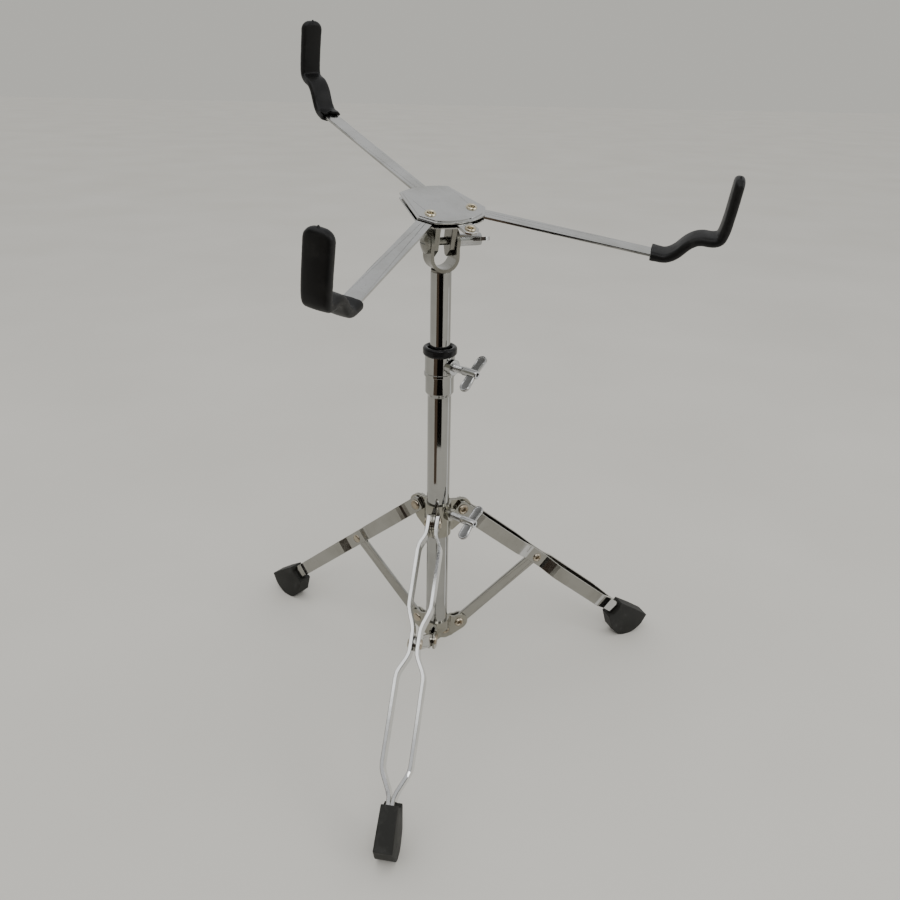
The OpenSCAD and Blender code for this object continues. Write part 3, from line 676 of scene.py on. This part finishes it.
def world():
    """Pale studio all round; what chrome mirrors has soft darker panels, as a real room has."""
    made = bpy.data.worlds.new("studio")
    made.use_nodes = True
    bpy.context.scene.world = made
    tree = made.node_tree
    tree.nodes.clear()

    def add(kind, **values):
        n = tree.nodes.new(kind)
        for key, value in values.items():
            setattr(n, key, value)
        return n

    def link(a, b):
        tree.links.new(a, b)

    place = add("ShaderNodeTexCoord")
    parts = add("ShaderNodeSeparateXYZ")
    link(place.outputs["Generated"], parts.inputs[0])
    minus = add("ShaderNodeMath", operation="MULTIPLY")
    minus.inputs[1].default_value = -1
    link(parts.outputs["Y"], minus.inputs[0])
    angle = add("ShaderNodeMath", operation="ARCTAN2")
    link(parts.outputs["X"], angle.inputs[0])
    link(minus.outputs[0], angle.inputs[1])
    share = add("ShaderNodeMapRange")
    share.inputs["From Min"].default_value = -math.pi
    share.inputs["From Max"].default_value = math.pi
    link(angle.outputs[0], share.inputs["Value"])
    ramp = add("ShaderNodeValToRGB")
    elements = ramp.color_ramp.elements
    while len(elements) < len(PANELS):
        elements.new(0.5)
    for element, (degrees, _) in zip(elements, PANELS):
        element.position = (degrees + 180) / 360
    for element, (_, colour) in zip(elements, PANELS):
        element.color = (*colour, 1)
    link(share.outputs["Result"], ramp.inputs["Fac"])
    height = add("ShaderNodeMapRange", interpolation_type="SMOOTHSTEP")
    height.inputs["From Min"].default_value = 0.45
    height.inputs["From Max"].default_value = 0.85
    link(parts.outputs["Z"], height.inputs["Value"])
    sky = add("ShaderNodeMix", data_type="RGBA")
    link(height.outputs["Result"], sky.inputs["Factor"])
    link(ramp.outputs["Color"], sky.inputs[6])
    sky.inputs[7].default_value = CEILING
    rays = add("ShaderNodeLightPath")
    pick = add("ShaderNodeMix", data_type="RGBA")
    link(rays.outputs["Is Glossy Ray"], pick.inputs["Factor"])
    pick.inputs[6].default_value = ROOM_LIGHT
    link(sky.outputs[2], pick.inputs[7])
    backdrop = add("ShaderNodeMix", data_type="RGBA")
    link(rays.outputs["Is Camera Ray"], backdrop.inputs["Factor"])
    link(pick.outputs[2], backdrop.inputs[6])
    backdrop.inputs[7].default_value = BACKDROP
    light = add("ShaderNodeBackground")
    link(backdrop.outputs[2], light.inputs["Color"])
    out = add("ShaderNodeOutputWorld")
    link(light.outputs[0], out.inputs["Surface"])


def card(name, start, stop, near, far, colour):
    """Flat sector of even colour round the mast's foot, seen only in reflections; degrees from the front."""
    steps = 12
    points = []
    for k in range(steps + 1):
        a = math.radians(start + (stop - start) * k / steps)
        points += [(r * math.sin(a), -r * math.cos(a), 0.5) for r in (near, far)]
    faces = [(2 * k, 2 * k + 1, 2 * k + 3, 2 * k + 2) for k in range(steps)]
    mesh = bpy.data.meshes.new(name)
    mesh.from_pydata([MAST @ (Vector(p) * MM) for p in points], [], faces)
    made = bpy.data.objects.new(name, mesh)
    bpy.context.scene.collection.objects.link(made)
    material = bpy.data.materials.new(name)
    material.use_nodes = True
    tree = material.node_tree
    tree.nodes.clear()
    glow = tree.nodes.new("ShaderNodeEmission")
    glow.inputs["Color"].default_value = (*colour, 1)
    out = tree.nodes.new("ShaderNodeOutputMaterial")
    tree.links.new(glow.outputs[0], out.inputs["Surface"])
    mesh.materials.append(material)
    made.visible_camera = False
    made.visible_diffuse = False
    made.visible_shadow = False
    made.visible_transmission = False
    made.visible_volume_scatter = False


def softbox(name, place, target, size, power):
    """Rectangular light aimed at a target."""
    data = bpy.data.lights.new(name, "AREA")
    data.shape = "RECTANGLE"
    data.size, data.size_y = size
    data.energy = power
    made = bpy.data.objects.new(name, data)
    made.location = place
    made.rotation_mode = "QUATERNION"
    made.rotation_quaternion = (Vector(target) - Vector(place)).to_track_quat("-Z", "Y")
    bpy.context.scene.collection.objects.link(made)


CAMERA_PLACE = (-0.0181, -0.5813, 0.5225)
CAMERA_TURN = (0.892, 25.6, 1.142)
LENS = 32.15


def camera():
    """Camera from its place, lens, and yaw, downward pitch and roll in degrees."""
    data = bpy.data.cameras.new("camera")
    data.sensor_width = 36
    data.lens = LENS
    data.clip_start, data.clip_end = 0.01, 50
    made = bpy.data.objects.new("camera", data)
    yaw, pitch, roll = (math.radians(d) for d in CAMERA_TURN)
    ahead = Vector((math.sin(yaw) * math.cos(pitch), math.cos(yaw) * math.cos(pitch), -math.sin(pitch)))
    level = Vector((math.cos(yaw), -math.sin(yaw), 0))
    above = level.cross(ahead)
    right = math.cos(roll) * level + math.sin(roll) * above
    up = -math.sin(roll) * level + math.cos(roll) * above
    axes = Matrix((right, up, -ahead)).transposed()
    made.matrix_world = Matrix.Translation(CAMERA_PLACE) @ axes.to_4x4()
    bpy.context.scene.collection.objects.link(made)
    bpy.context.scene.camera = made


floor()
world()
card("brown_card", -47, -20, 400, 2600, (0.140, 0.100, 0.070))
card("black_card", -20, 25, 520, 2600, (0.006, 0.005, 0.004))
card("bright_card", 92, 104, 120, 1500, (1.2, 1.2, 1.2))
softbox("overhead", (-0.5, -0.6, 2.4), (0, 0, 0.2), (1.8, 1.8), 10)
softbox("window", (0.15, -2.3, 2.3), (0, 0, 0.2), (1.4, 0.9), 18)
softbox("side", (1.9, -1.0, 1.3), (0, 0, 0.25), (0.5, 1.4), 8)
camera()
